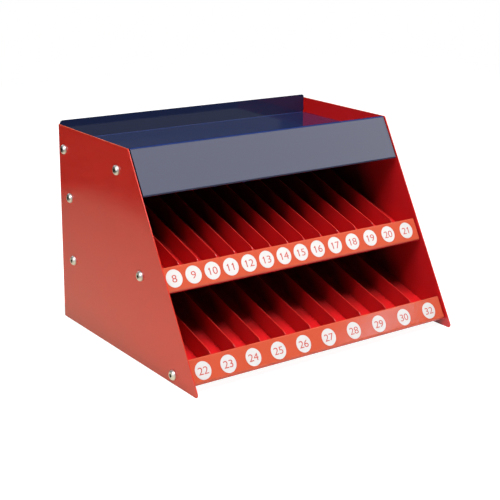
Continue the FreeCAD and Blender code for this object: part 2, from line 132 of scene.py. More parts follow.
# %% Helpers for materials
def start_material(name, **sockets):
    """A material with one Principled BSDF; returns material, tree, shader and coordinates."""
    material = bpy.data.materials.new(name)
    material.use_nodes = True
    tree = material.node_tree
    shader = tree.nodes["Principled BSDF"]
    for socket, given in sockets.items():
        shader.inputs[socket.replace("_", " ")].default_value = given
    place = tree.nodes.new("ShaderNodeTexCoord").outputs["Object"]
    return material, tree, shader, place


def mix_colours(tree, factor, first, second):
    """Blends two colours, given or linked, by a factor that varies over the surface."""
    mix = tree.nodes.new("ShaderNodeMix")
    mix.data_type = "RGBA"
    for socket, given in (("Factor", factor), ("A", first), ("B", second)):
        feed(tree, mix.inputs[socket], given)
    return mix.outputs["Result"]


def remap(tree, source, low, high, start, end):
    """Turns source values from low to high into start to end, clamped."""
    ramp = add_node(
        tree,
        "ShaderNodeMapRange",
        Value=source,
        From_Min=low,
        From_Max=high,
        To_Min=start,
        To_Max=end,
    )
    return ramp.outputs["Result"]


def mask(tree, source, outside, inside):
    """0 where the source has not passed outside yet, and 1 once it has reached inside."""
    return remap(tree, source, outside, inside, 0.0, 1.0)


print("material helpers ready")

# %% [markdown]
# ## Powder coat
#
# Powder coat is paint that is baked on as dry powder. It flows into a thick, glossy skin that is
# never quite flat: it has a fine "orange peel" of shallow waves, a few millimetres across. The
# pigment gives an ordinary diffuse colour, and the light that scatters just under the surface
# gives a broad sheen tinted like the paint, which is the shader's own rough gloss. The clear outer
# skin is the shader's coat, and it mirrors crisply. Noise tilts the surface for the orange peel, a
# slower noise makes the colour drift by a few percent, and a few tiny specks of dust lie in the
# skin.

# %% Powder coat recipe
PEEL_WAVES = 330  # waves per metre, so each is about 3 mm across
PEEL_STRENGTH = 0.35  # share of the bump that shows
DRIFT_WAVES = 9  # slow changes of colour, about 110 mm across
SPECK_CELLS = 110  # one cell each 9 mm, and few of them hold a speck
SPECK_LUCK = (0.93, 0.94)  # only cells whose number is past these hold one
SPECK_SIZE = 0.035  # in cells
SKIN_IOR = 1.5  # of the clear outer skin


def dust_specks(tree, place):
    """1 inside the few specks of dust in the paint, and 0 elsewhere."""
    cells = add_node(tree, "ShaderNodeTexVoronoi", Vector=place, Scale=SPECK_CELLS).outputs
    lottery = add_node(tree, "ShaderNodeSeparateColor", Color=cells["Color"])
    chosen = mask(tree, lottery.outputs["Red"], *SPECK_LUCK)
    near = mask(tree, cells["Distance"], 2 * SPECK_SIZE, SPECK_SIZE)
    return add_math(tree, "MULTIPLY", chosen, near)


def painted_skin(name, sheen_tint, sheen, roughness, peel_depth, coat_roughness):
    """A coated material without its colour: a broad sheen under a crisp, faintly wavy skin."""
    material, tree, shader, place = start_material(
        name,
        Roughness=roughness,
        Specular_IOR_Level=sheen,
        Specular_Tint=sheen_tint,
        Coat_Weight=1.0,
        Coat_Roughness=coat_roughness,
        Coat_IOR=SKIN_IOR,
    )
    peel = add_node(tree, "ShaderNodeTexNoise", Vector=place, Scale=PEEL_WAVES, Detail=1.0)
    waves = add_node(
        tree,
        "ShaderNodeBump",
        Strength=PEEL_STRENGTH,
        Distance=peel_depth,
        Height=peel.outputs["Fac"],
    )
    for socket in ("Normal", "Coat Normal"):
        tree.links.new(waves.outputs["Normal"], shader.inputs[socket])
    return material, tree, shader, place


def drifting_colour(tree, place, colour, deep_colour):
    """A paint colour that wanders slowly towards a deeper one."""
    drift = add_node(tree, "ShaderNodeTexNoise", Vector=place, Scale=DRIFT_WAVES, Detail=2.0)
    return mix_colours(tree, drift.outputs["Fac"], deep_colour, colour)


def sprinkle(tree, place, shader, colour, speck_colour):
    """Adds the specks of dust and hands the colour to the shader."""
    specked = mix_colours(tree, dust_specks(tree, place), colour, speck_colour)
    tree.links.new(specked, shader.inputs["Base Color"])


print("powder coat: waves of", round(1000 / PEEL_WAVES, 1), "mm")

# %% [markdown]
# ## Navy for the tray
#
# The tray is deep navy and very smooth. Along its folds a brighter blue is painted in as a
# highlight, where a fold catches a thin line of light. A fold is told from the flat faces by its
# normal, which is the direction that it faces: the floor faces straight up, the rear wall straight
# forwards and the tray's slanted front nearly so, and only the folds between them face in between.

# %% Navy coat
NAVY_PEEL = 0.03 * MM  # depth of the waves
NAVY_SHEEN = 0.2
NAVY_SHEEN_TINT = (1, 1, 1, 1)
NAVY_ROUGHNESS = 0.5
NAVY_SKIN = 0.03  # roughness of the clear skin
NAVY = (0.0035, 0.0103, 0.047, 1)
DEEP_NAVY = (0.0031, 0.0093, 0.043, 1)
# painted highlight along the folds
FOLD_HIGHLIGHT_BLUE = (0.006, 0.019, 0.108, 1)
PALE_BLUE_DUST = (0.03, 0.05, 0.12, 1)
FOLD_STARTS = (-0.12, -0.25)  # the normal's Y where a fold leaves the floor
FOLD_ENDS = (-0.80, -0.70)  # and where it runs into the fascia


def on_fold(tree):
    """1 on the rounded folds that face forwards and up, and 0 on the flat faces."""
    normal = tree.nodes.new("ShaderNodeTexCoord").outputs["Normal"]
    forwards = split_axes(tree, normal)["Y"]
    past_floor = mask(tree, forwards, *FOLD_STARTS)
    before_fascia = mask(tree, forwards, *FOLD_ENDS)
    return add_math(tree, "MULTIPLY", past_floor, before_fascia)


def navy_powder_coat():
    """The tray's coat, with a painted highlight along its folds."""
    material, tree, shader, place = painted_skin(
        "navy_powder_coat", NAVY_SHEEN_TINT, NAVY_SHEEN, NAVY_ROUGHNESS, NAVY_PEEL, NAVY_SKIN
    )
    base = drifting_colour(tree, place, NAVY, DEEP_NAVY)
    # painted highlight: a brighter blue on the folds
    base = mix_colours(tree, on_fold(tree), base, FOLD_HIGHLIGHT_BLUE)
    sprinkle(tree, place, shader, base, PALE_BLUE_DUST)
    return material


navy_coat = navy_powder_coat()
print("navy coat:", navy_coat.name)

# %% [markdown]
# ## Where the red changes
#
# One red paint covers the whole rack, and its colour is changed by place to paint in light and
# shade. The outer faces, lips and cut edges, which the lamps light well, get warmer, more orange
# lit copies of the red: painted light and painted highlights. The bays keep a deep red, and far
# inside them, under the tray, the red is darkened as painted shade. The inner faces beside the
# tray get a brighter, purer lit copy of the red, as painted light.
#
# So the red coat takes its colour from where a point lies on the rack. The place is measured in
# three ways: how far out it lies along the direction in which the slanted front faces, how high it
# is, and how near it is to the outer side or rear faces.

# %% Places on the rack
FRONT_LEAN = math.radians(30)  # of the slanted front, from the vertical
LIP_OUT = Vector((0, -math.cos(FRONT_LEAN), math.sin(FRONT_LEAN)))
LIP_UP = Vector((0, math.sin(FRONT_LEAN), math.cos(FRONT_LEAN)))


def reach_of(node_name):
    """How far a node reaches along the outward direction of the slanted front."""
    return max(LIP_OUT.dot(vert.co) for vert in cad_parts[node_name].data.vertices)


FRONT_REACH = reach_of("side_panel_left")
PANEL_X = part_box("side_panel_right")[1].x
PANEL_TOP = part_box("side_panel_right")[1].z
BACK_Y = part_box("back_panel")[1].y
TRAY_FLOOR = 0.268  # its height above the ground
print("front", round(FRONT_REACH, 4), "side", round(PANEL_X, 4), "rear", round(BACK_Y, 4))

# %% [markdown]
# ## Red for the panels, shelves and dividers
#
# The masks are laid like stencils: each one paints its colour over those before. One recipe makes
# three coats. The shelves turn up into a wide lip, which gets a lighter, more orange lit copy of
# the red as painted light, and their floors get a darker copy as painted shade. The panels only
# show their cut edges at the front, and these and the panels' top edges get a painted highlight.
# The dividers' cut edges get a darker red, painted shade that dims their light lines, and the
# whole divider gets a softer gloss.

# %% Reds and where they lie
RED_PEEL = 0.25 * MM  # depth of the waves
RED_SHEEN = 0.16
RED_SHEEN_TINT = (1.0, 0.70, 0.45, 1)
RED_ROUGHNESS = 0.6
RED_SKIN = 0.05  # roughness of the clear skin
THIN_SKIN = 0.16  # the same where little powder lies
BAY_RED = (0.56, 0.009, 0.013, 1)
# painted shade: the shelves' floors get a darker copy of the bay red, so they look less lit
SHADED_FLOOR_RED = (0.47, 0.007, 0.009, 1)
DEEP_BAY_RED = (0.52, 0.008, 0.012, 1)
# painted shade: the red darkened deep in the bays under the tray
BAY_SHADE_RED = (0.18, 0.014, 0.015, 1)
# painted light: a lighter, more orange lit copy of the red on the outer side and rear faces
LIT_OUTER_RED = (0.62, 0.020, 0.011, 1)
# painted light: a more orange lit copy of the red on the shelves' lips
LIT_LIP_RED = (0.52, 0.075, 0.034, 1)
# painted highlight: a lit copy of the red on the panels' front cut edges
EDGE_HIGHLIGHT_RED = (0.63, 0.024, 0.012, 1)
# painted highlight: a lit, orange copy of the red on the panels' top edges
TOP_HIGHLIGHT_RED = (0.70, 0.11, 0.045, 1)
# painted light: a brighter, purer lit copy of the red on the inner faces beside the tray
LIT_TRAY_SIDE_RED = (0.72, 0.006, 0.003, 1)
# painted shade: a darker red on the dividers' cut edges, which dims their light lines
DIVIDER_EDGE_SHADE_RED = (0.48, 0.022, 0.014, 1)
PALE_RED_DUST = (0.75, 0.12, 0.08, 1)
SHADE_FROM = 62 * MM  # behind the slanted front, painted shade darkens the red from here
SHADE_TO = 98 * MM  # to here
UNDER_TRAY = (TRAY_FLOOR - 2 * MM, TRAY_FLOOR - 12 * MM)  # and only under the tray
IN_TRAY = (TRAY_FLOOR - 2 * MM, TRAY_FLOOR)
ON_TOP = (PANEL_TOP - 0.5 * MM, PANEL_TOP - 0.2 * MM)
ON_SIDE = (PANEL_X - 0.9 * MM, PANEL_X - 0.3 * MM)
ON_REAR = (BACK_Y - 0.6 * MM, BACK_Y - 0.1 * MM)
FRONT_FADE = 0.3 * MM
ACROSS_SHEET = (0.75, 0.55)  # the normal's X, from a divider's flat face to its cut edge
# this prints where the painted shade in the bays begins and where it is full
print("thin powder from", round(SHADE_FROM / MM), "to", round(SHADE_TO / MM), "mm behind the front")


# %% Red coat
def on_cut_edge(tree):
    """1 on the cut edges of an upright sheet across X, and 0 on its flat faces."""
    normal = tree.nodes.new("ShaderNodeTexCoord").outputs["Normal"]
    sideways = add_math(tree, "ABSOLUTE", split_axes(tree, normal)["X"])
    return mask(tree, sideways, *ACROSS_SHEET)


def red_powder_coat(name, front_reach, front_depth, front_light_red, bay_red, edge_shade_red=None):
    """Bay red with painted shade deep inside and painted light on outer faces and the front."""
    skin = THIN_SKIN if edge_shade_red else RED_SKIN
    material, tree, shader, place = painted_skin(
        name, RED_SHEEN_TINT, RED_SHEEN, RED_ROUGHNESS, RED_PEEL, skin
    )
    axes = split_axes(tree, place)
    reach = vector_math(tree, "DOT_PRODUCT", place, LIP_OUT, output="Value")
    inwards = mask(tree, reach, FRONT_REACH - SHADE_FROM, FRONT_REACH - SHADE_TO)
    low_down = mask(tree, axes["Z"], *UNDER_TRAY)
    sideways = add_math(tree, "ABSOLUTE", axes["X"])
    front = front_reach - front_depth
    # painted shade deep under the tray, then painted light and highlights on the tray side, the
    # outer faces, the front and the top edges
    stencils = [
        (add_math(tree, "MULTIPLY", inwards, low_down), BAY_SHADE_RED),
        (mask(tree, axes["Z"], *IN_TRAY), LIT_TRAY_SIDE_RED),
        (mask(tree, sideways, *ON_SIDE), LIT_OUTER_RED),
        (mask(tree, axes["Y"], *ON_REAR), LIT_OUTER_RED),
        (mask(tree, reach, front - FRONT_FADE, front), front_light_red),
        (mask(tree, axes["Z"], *ON_TOP), TOP_HIGHLIGHT_RED),
    ]
    # painted shade on the dividers' cut edges
    if edge_shade_red:
        stencils.insert(2, (on_cut_edge(tree), edge_shade_red))
    base = drifting_colour(tree, place, bay_red, DEEP_BAY_RED)
    for stencil, colour in stencils:
        base = mix_colours(tree, stencil, base, colour)
    sprinkle(tree, place, shader, base, PALE_RED_DUST)
    return material


print("red coat: peel", round(RED_PEEL / MM, 2), "mm deep, navy", round(NAVY_PEEL / MM, 2), "mm")

# %% Coats for the shelves, the panels and the dividers
LIP_DEPTH = 0.8 * MM  # how far behind the slanted front its red reaches
EDGE_DEPTH = 0.2 * MM
shelf_red = red_powder_coat(
    "red_coat_of_shelves", reach_of("upper_shelf"), LIP_DEPTH, LIT_LIP_RED, SHADED_FLOOR_RED
)
panel_red = red_powder_coat("red_coat_of_panels", FRONT_REACH, EDGE_DEPTH, EDGE_HIGHLIGHT_RED, BAY_RED)
divider_red = red_powder_coat(
    "red_coat_of_dividers", FRONT_REACH, EDGE_DEPTH, EDGE_HIGHLIGHT_RED, BAY_RED, DIVIDER_EDGE_SHADE_RED
)
print("red coats:", shelf_red.name, panel_red.name, divider_red.name)

# %% [markdown]
# ## Softened sheet edges
#
# A sheet that is cut with a laser or a punch has sharp edges, but the powder flows round them and
# leaves every edge with a small radius. That radius catches the light as a thin bright line, and
# it is what makes folded steel look like steel. The solids have sharp edges, so each sheet is
# copied, its loose triangles are merged into whole faces, and the sharp edges get a narrow bevel.
# The bends keep the shape that the solids give them and are only shaded smooth.

# %% Pieces and their shading
SHARP = math.radians(35)  # a bend's facets meet at less than this, and cut edges at more


def place_piece(name, shape, *materials):
    """Puts a finished bmesh in the scene as a piece with the given materials."""
    mesh = bpy.data.meshes.new(name)
    shape.to_mesh(mesh)
    shape.free()
    piece = bpy.data.objects.new(name, mesh)
    bpy.context.scene.collection.objects.link(piece)
    for material in materials:
        mesh.materials.append(material)
    return piece


def even_shading(piece):
    """Smooth shading that keeps the large faces flat and the sharp edges sharp."""
    piece.data.shade_smooth()
    piece.data.set_sharp_from_angle(angle=SHARP)
    weighted = piece.modifiers.new("even_shading", "WEIGHTED_NORMAL")
    weighted.keep_sharp = True


print("edges stay sharp from", round(math.degrees(SHARP)), "degrees")

# %% Soften one sheet
EDGE_ROUND = 0.35 * MM  # radius of the paint over a cut edge
FLAT = math.radians(0.5)  # triangles that meet at less than this are one face
SAME_POINT = 0.002 * MM  # corners nearer than this are one corner


def soften_sheet(node_name, material):
    """A copy of a sheet with whole faces and softly rounded cut edges."""
    sheet = bmesh.new()
    sheet.from_mesh(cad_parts[node_name].data)
    bmesh.ops.remove_doubles(sheet, verts=sheet.verts, dist=SAME_POINT)
    bmesh.ops.dissolve_limit(sheet, angle_limit=FLAT, verts=sheet.verts, edges=sheet.edges)
    bmesh.ops.recalc_face_normals(sheet, faces=sheet.faces)
    cut_edges = [edge for edge in sheet.edges if edge.calc_face_angle(0.0) > SHARP]
    bmesh.ops.bevel(
        sheet,
        geom=cut_edges,
        offset=EDGE_ROUND,
        offset_type="OFFSET",
        segments=3,
        profile=0.5,
        affect="EDGES",
        material=-1,
        clamp_overlap=True,
    )
    piece = place_piece("coated_" + node_name, sheet, material)
    even_shading(piece)
    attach(piece, BODY)
    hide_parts(node_name)
    return piece


print("cut edges will be rounded by", round(EDGE_ROUND / MM, 2), "mm")

# %% [markdown]
# Every sheet goes through the same bath of bevels, and its name says which coat it gets: the tray
# is navy, and the shelves, dividers and panels each have their own red. The screws and nuts are
# left for later.

# %% Coat all the sheets
FASTENERS = ("_screws", "_nuts")
sheets = []
for node_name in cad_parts:
    if node_name.endswith(FASTENERS):
        continue
    if node_name == "top_tray":
        coat = navy_coat
    elif node_name.endswith("_shelf"):
        coat = shelf_red
    elif "_divider_" in node_name:
        coat = divider_red
    else:
        coat = panel_red
    sheets.append(soften_sheet(node_name, coat))
print("coated sheets:", len(sheets), "faces:", sum(len(sheet.data.polygons) for sheet in sheets))

# %% [markdown]
# ## Screws
#
# Each shelf and the tray hang on button head screws that go in through the side panels. A button
# head is turned on a lathe: a thin rim, a low dome and a small flat on top, with a hexagon socket
# for the key. A profile is spun about the screw's axis for the turned part. The socket starts as a
# hexagon whose sides are divided until it has as many corners as the flat's inner circle, and the
# two loops are bridged.

# %% Screw sizes
HEAD_RADIUS = 7 * MM
HEAD_HEIGHT = 4.4 * MM
RIM_HEIGHT = 0.9 * MM
RIM_EDGE = 0.15 * MM  # the small slope under the rim
LAND_RADIUS = 3.4 * MM  # the flat on top of the dome
DOME_STEPS = 8
DOME_POWER = 1.2  # 1 would be a quarter of an ellipse, and more is less full
SHANK_RADIUS = 4 * MM
GRIP = 2.4 * MM  # a side panel and the flange behind it
KEY_FLATS = 5 * MM
KEY_DEPTH = 2.6 * MM


def dome_profile():
    """Radius and height from the edge of the flat, over the dome and down to the shank's end."""
    points = []
    for step in range(DOME_STEPS + 1):
        turn = step / DOME_STEPS * math.pi / 2
        radius = LAND_RADIUS + (HEAD_RADIUS - LAND_RADIUS) * math.sin(turn)
        height = RIM_HEIGHT + (HEAD_HEIGHT - RIM_HEIGHT) * math.cos(turn) ** DOME_POWER
        points.append((radius, height))
    points.append((HEAD_RADIUS, RIM_EDGE))
    points.append((HEAD_RADIUS - RIM_EDGE, 0.0))
    points.append((SHANK_RADIUS, 0.0))
    points.append((SHANK_RADIUS, -GRIP))
    return points


print("head:", round(2 * HEAD_RADIUS / MM), "mm across, profile points:", len(dome_profile()))

# %% Turned shapes and hexagons
TURNS = 48  # sides of the turned parts, a whole number for each side of a hexagon
TINY = 0.001 * MM  # corners nearer than this are merged
NEARLY = 0.01 * MM  # how exactly a corner has to lie on a ring


def ring_at(shape, radius, height):
    """The ring of edges at one radius and height."""

    def on_ring(vert):
        return abs(vert.co.xy.length - radius) < NEARLY and abs(vert.co.z - height) < NEARLY

    return [edge for edge in shape.edges if all(on_ring(vert) for vert in edge.verts)]


def spin_profile(shape, points):
    """Spins radius and height points about Z; returns the first and the last ring of edges."""
    verts = [shape.verts.new((radius, 0, height)) for radius, height in points]
    edges = [shape.edges.new(pair) for pair in zip(verts, verts[1:])]
    bmesh.ops.spin(
        shape,
        geom=verts + edges,
        cent=(0, 0, 0),
        axis=(0, 0, 1),
        dvec=(0, 0, 0),
        angle=2 * math.pi,
        steps=TURNS,
        use_merge=True,
    )
    bmesh.ops.remove_doubles(shape, verts=shape.verts, dist=TINY)
    return ring_at(shape, *points[0]), ring_at(shape, *points[-1])


def circle_edges(made):
    """The edges of a new circle, always in the same order, so that each run fills it alike."""
    return list(dict.fromkeys(edge for vert in made["verts"] for edge in vert.link_edges))


def hexagon_ring(shape, flats, height):
    """A hexagon of TURNS edges at a height, with its corners on a circle about Z."""
    corner = flats / math.sqrt(3)
    made = bmesh.ops.create_circle(shape, cap_ends=False, segments=6, radius=corner)
    sides = circle_edges(made)
    bmesh.ops.translate(shape, verts=made["verts"], vec=(0, 0, height))
    cuts = bmesh.ops.subdivide_edges(shape, edges=sides, cuts=TURNS // 6 - 1)
    split = [item for item in cuts["geom_split"] if isinstance(item, bmesh.types.BMEdge)]
    return list(dict.fromkeys(split + [edge for edge in sides if edge.is_valid]))


print("turned parts have", TURNS, "sides,", TURNS // 6, "to each side of a hexagon")

# %% [markdown]
# The socket's ring is extruded downwards for its walls, and a loop fill closes its floor and the
# shank's end. The faces inside the socket get a second, darker material by their place, which is
# painted shade in the recess.

# %% One screw
SOCKET_SLACK = 0.1 * MM  # takes in the socket's floor and leaves out the faces round its mouth


def in_socket(point):
    """Whether the middle of a face lies on the socket's walls or floor."""
    within_flats = point.xy.length < 0.5 * KEY_FLATS + 2 * SOCKET_SLACK
    floor = HEAD_HEIGHT - KEY_DEPTH - SOCKET_SLACK
    return within_flats and floor < point.z < HEAD_HEIGHT - SOCKET_SLACK


def button_screw():
    """A screw with its seat at height 0 and its head up."""
    shape = bmesh.new()
    flat_ring, shank_ring = spin_profile(shape, dome_profile())
    socket_ring = hexagon_ring(shape, KEY_FLATS, HEAD_HEIGHT)
    bmesh.ops.bridge_loops(shape, edges=flat_ring + socket_ring)
    walls = bmesh.ops.extrude_edge_only(shape, edges=socket_ring)
    floor_verts = [item for item in walls["geom"] if isinstance(item, bmesh.types.BMVert)]
    floor_edges = [item for item in walls["geom"] if isinstance(item, bmesh.types.BMEdge)]
    bmesh.ops.translate(shape, verts=floor_verts, vec=(0, 0, -KEY_DEPTH))
    floor_ring = [edge for edge in floor_edges if edge.is_boundary]
    bmesh.ops.edgeloop_fill(shape, edges=floor_ring)
    bmesh.ops.edgeloop_fill(shape, edges=shank_ring)
    bmesh.ops.recalc_face_normals(shape, faces=shape.faces)
    for face in shape.faces:
        if in_socket(face.calc_center_median()):
            face.material_index = 1
    return shape


def report_shape(name, shape):
    """Prints how many faces and open edges a shape has, and frees it."""
    open_edges = sum(edge.is_boundary for edge in shape.edges)
    print(name, "faces:", len(shape.faces), "open edges:", open_edges)
    shape.free()


report_shape("one screw,", button_screw())

# %% [markdown]
# ## Nuts
#
# Inside the bays each screw ends in a closed hexagon nut. A nut is cut from hexagon bar and then
# turned, so its corners are chamfered to a circle at both ends. Here each point of the hexagon's
# ring is drawn back in proportion to how far it lies outside that circle, and then the two are
# bridged: that gives the curved edge which every turned nut has.

# %% One nut
NUT_FLATS = 13 * MM
NUT_HEIGHT = 8 * MM
CHAMFER_RADIUS = 0.47 * NUT_FLATS
CHAMFER_SLOPE = 0.6  # drop for each unit outwards, about 30 degrees


def chamfered_end(shape, height, direction):
    """One end of the nut: a circle at the height and a hexagon that is drawn back from it."""
    hexagon = hexagon_ring(shape, NUT_FLATS, height)
    for vert in {vert for edge in hexagon for vert in edge.verts}:
        vert.co.z -= direction * CHAMFER_SLOPE * (vert.co.xy.length - CHAMFER_RADIUS)
    made = bmesh.ops.create_circle(
        shape, cap_ends=False, segments=TURNS, radius=CHAMFER_RADIUS
    )
    circle = circle_edges(made)
    bmesh.ops.translate(shape, verts=made["verts"], vec=(0, 0, height))
    bmesh.ops.bridge_loops(shape, edges=hexagon + circle)
    bmesh.ops.edgeloop_fill(shape, edges=circle)
    return hexagon


def closed_nut():
    """A nut with its seat at height 0 and its body below, which is inwards on a side panel."""
    shape = bmesh.new()
    seat = chamfered_end(shape, 0.0, 1)
    end = chamfered_end(shape, -NUT_HEIGHT, -1)
    bmesh.ops.bridge_loops(shape, edges=seat + end)
    bmesh.ops.recalc_face_normals(shape, faces=shape.faces)
    return shape


report_shape("one nut,", closed_nut())

# %% [markdown]
# ## Zinc plate
#
# The screws and nuts are bright zinc-plated steel: a metal with a few duller patches. A metal
# shows its surroundings, so most of its look comes from the studio. Inside the socket the metal is
# given a dark copy, as painted shade in the recess.

# %% Zinc plate
ZINC_PATCHES = 400  # per metre, so each is about 2.5 mm across
PATCH_NOISE = (0.3, 0.7)  # the noise seldom leaves this range


def zinc_plate(name, colour, smooth, dull):
    """Bright metal whose roughness wanders between smooth and dull."""
    material, tree, shader, place = start_material(name, Base_Color=colour, Metallic=1.0)
    patches = add_node(tree, "ShaderNodeTexNoise", Vector=place, Scale=ZINC_PATCHES, Detail=3.0)
    roughness = remap(tree, patches.outputs["Fac"], *PATCH_NOISE, smooth, dull)
    tree.links.new(roughness, shader.inputs["Roughness"])
    return material


zinc = zinc_plate("bright_zinc", (0.76, 0.77, 0.75, 1), smooth=0.28, dull=0.42)
# painted shade: a dark copy of the zinc for the faces inside the socket
socket_shade_zinc = zinc_plate("socket_shade_zinc", (0.10, 0.10, 0.09, 1), smooth=0.35, dull=0.55)
print("metals:", zinc.name, socket_shade_zinc.name)

# %% [markdown]
# ## Setting the screws and nuts
#
# The frame has one node for the screws of each holder and one for its nuts. The boxes round them
# tell where the front and the rear screw are, and the finer copies are set there on both sides,
# each at a turn of its own.

# %% Set the screws and nuts
HOLDERS = ("tray", "upper_shelf", "lower_shelf")
SCREW_TURNS = (11, 42, 73)  # degrees by which each holder's first screw is turned
NUT_TURNS = (4, 21, 38)
TURN_STEP = 23  # degrees from one to the next, so that no two stop alike


def screw_places(holder):
    """The y and z of the front and rear screws, from the box round the holder's screws."""
    low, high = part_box(holder + "_screws")
    front = (low.y + HEAD_RADIUS, low.z + HEAD_RADIUS)
    rear = (high.y - HEAD_RADIUS, high.z - HEAD_RADIUS)
    return front, rear


def set_fasteners(holder, kind, original, depth, turn):
    """Copies one fastener to a holder's four places, on both side panels."""
    group = bmesh.new()
    for side in (-1, 1):
        outwards = Matrix.Rotation(side * math.pi / 2, 4, "Y")
        for y, z in screw_places(holder):
            copy = original()
            spin = Matrix.Rotation(math.radians(turn), 4, "Z")
            bmesh.ops.transform(copy, matrix=outwards @ spin, verts=copy.verts)
            bmesh.ops.translate(copy, verts=copy.verts, vec=(side * (PANEL_X - depth), y, z))
            scratch = bpy.data.meshes.new("scratch")
            copy.to_mesh(scratch)
            copy.free()
            group.from_mesh(scratch)
            bpy.data.meshes.remove(scratch)
            turn += TURN_STEP
    piece = place_piece("zinc_" + holder + kind, group, zinc, socket_shade_zinc)
    even_shading(piece)
    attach(piece, BODY)
    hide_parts(holder + kind)
    return piece


fasteners = []
for holder, screw_turn, nut_turn in zip(HOLDERS, SCREW_TURNS, NUT_TURNS):
    fasteners.append(set_fasteners(holder, "_screws", button_screw, 0.0, screw_turn))
    fasteners.append(set_fasteners(holder, "_nuts", closed_nut, GRIP, nut_turn))
print("fastener groups:", [piece.name for piece in fasteners])

# %% [markdown]
# ## Size labels
#
# Each bay has a round white label on the lip in front of it, with the socket's size in
# millimetres printed in thin red figures. The film and the ink are smooth plastics with a very
# faint mottle.

# %% Label finishes
MOTTLE = 500  # per metre
MOTTLE_DEPTH = 0.96  # the darkest share of the colour


def vinyl(name, colour, roughness):
    """Smooth printed film with a very faint mottle."""
    material, tree, shader, place = start_material(name, Roughness=roughness)
    mottle = add_node(tree, "ShaderNodeTexNoise", Vector=place, Scale=MOTTLE, Detail=2.0)
    deep = (*(MOTTLE_DEPTH * part for part in colour[:3]), 1)
    shade = mix_colours(tree, mottle.outputs["Fac"], deep, colour)
    tree.links.new(shade, shader.inputs["Base Color"])
    return material


label_film = vinyl("white_label_film", (0.605, 0.588, 0.582, 1), roughness=0.4)
label_ink = vinyl("red_label_ink", (0.50, 0.07, 0.05, 1), roughness=0.4)
print("label finishes:", label_film.name, label_ink.name)

# %% [markdown]
# The labels lie on one line along each lip, midway between the dividers. The first and the last
# bay end at a side panel, so their labels go by the next pitch. A matrix carries a label from flat
# on the ground to its place on the slanted lip.

# %% Label sizes and places
LABEL_RADIUS = 12.1 * MM
LABEL_THICK = 0.2 * MM
INK_THICK = 0.03 * MM
LABEL_ROWS = {  # height of the labels' middles above the ground, and the sizes from left to right
    "upper": (135.3 * MM, [*range(8, 22)]),
    "lower": (27.9 * MM, [*range(22, 31), 32]),
}


def bay_centres(row, count):
    """The x of each label in a row, midway between dividers; the ends go by the next pitch."""
    walls = []
    for number in range(1, count):
        low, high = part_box(f"{row}_divider_{number:02d}")
        walls.append((low.x + high.x) / 2)
    pitches = [right - left for left, right in zip(walls, walls[1:])]
    first = walls[0] - pitches[0] / 2
    last = walls[-1] + (2 * pitches[-1] - pitches[-2]) / 2
    middles = [left + pitch / 2 for left, pitch in zip(walls, pitches)]
    return [first, *middles, last]


def lip_matrix(row, x, z):
    """Carries a flat drawing to a row's lip: X stays, Y goes up the lip and Z points out."""
    y = (LIP_OUT.z * z - reach_of(row + "_shelf")) / -LIP_OUT.y
    axes = Matrix((Vector((1, 0, 0)), LIP_UP, LIP_OUT)).transposed().to_4x4()
    return Matrix.Translation((x, y, z)) @ axes


for row, (z, numbers) in LABEL_ROWS.items():
    centres = bay_centres(row, len(numbers))
    print(row, "labels from x", round(centres[0], 4), "to", round(centres[-1], 4))

# %% [markdown]
# The figures are Blender text with a very small extrusion. The text is turned into a mesh, because
# text can't be placed in its mesh and exported as it is, and the mesh is widened a little. The
# built-in font draws a 1 as a plain bar, so each 1 gets the short slanting stroke of a printed one.

# %% Figures
FIGURE_HEIGHT = 10.5 * MM
FONT_HEIGHT = 0.73  # height of a figure as a share of the text size
LETTER_SPACE = 0.95
FIGURE_WIDEN = 1.18  # the built-in font is narrower than the printed figures


def figures_mesh(words):
    """The figures as a thin solid mesh, centred on the origin."""
    text = bpy.data.curves.new("figures", "FONT")
    text.body = words
    text.size = FIGURE_HEIGHT / FONT_HEIGHT
    text.extrude = INK_THICK
    text.space_character = LETTER_SPACE
    text.align_x = "CENTER"
    drawn = bpy.data.objects.new("figures", text)
    bpy.context.scene.collection.objects.link(drawn)
    bpy.context.view_layer.update()
    ready = drawn.evaluated_get(bpy.context.evaluated_depsgraph_get())
    mesh = bpy.data.meshes.new_from_object(ready)
    bpy.data.objects.remove(drawn)
    bpy.data.curves.remove(text)
    return mesh


print("figures:", round(FIGURE_HEIGHT / MM, 1), "mm high")

# %% Flags on the ones
FLAG_REACH = 0.20 * FIGURE_HEIGHT  # the slanting stroke of a 1, to the left
FLAG_DROP = 0.17 * FIGURE_HEIGHT  # and down
FLAG_WIDTH = 0.85  # of the bar's own width
FLAG_BELOW_TOP = 0.35  # how far its upper end lies under the bar's top, in bar widths


def separate_figures(shape):
    """The vertices of each figure, from left to right."""
    left = set(shape.verts)
    figures = []
    while left:
        figure, waiting = set(), [left.pop()]
        while waiting:
            vert = waiting.pop()
            figure.add(vert)
            linked = {edge.other_vert(vert) for edge in vert.link_edges} & left
            left -= linked
            waiting.extend(linked)
        figures.append(figure)
    return sorted(figures, key=lambda figure: min(vert.co.x for vert in figure))


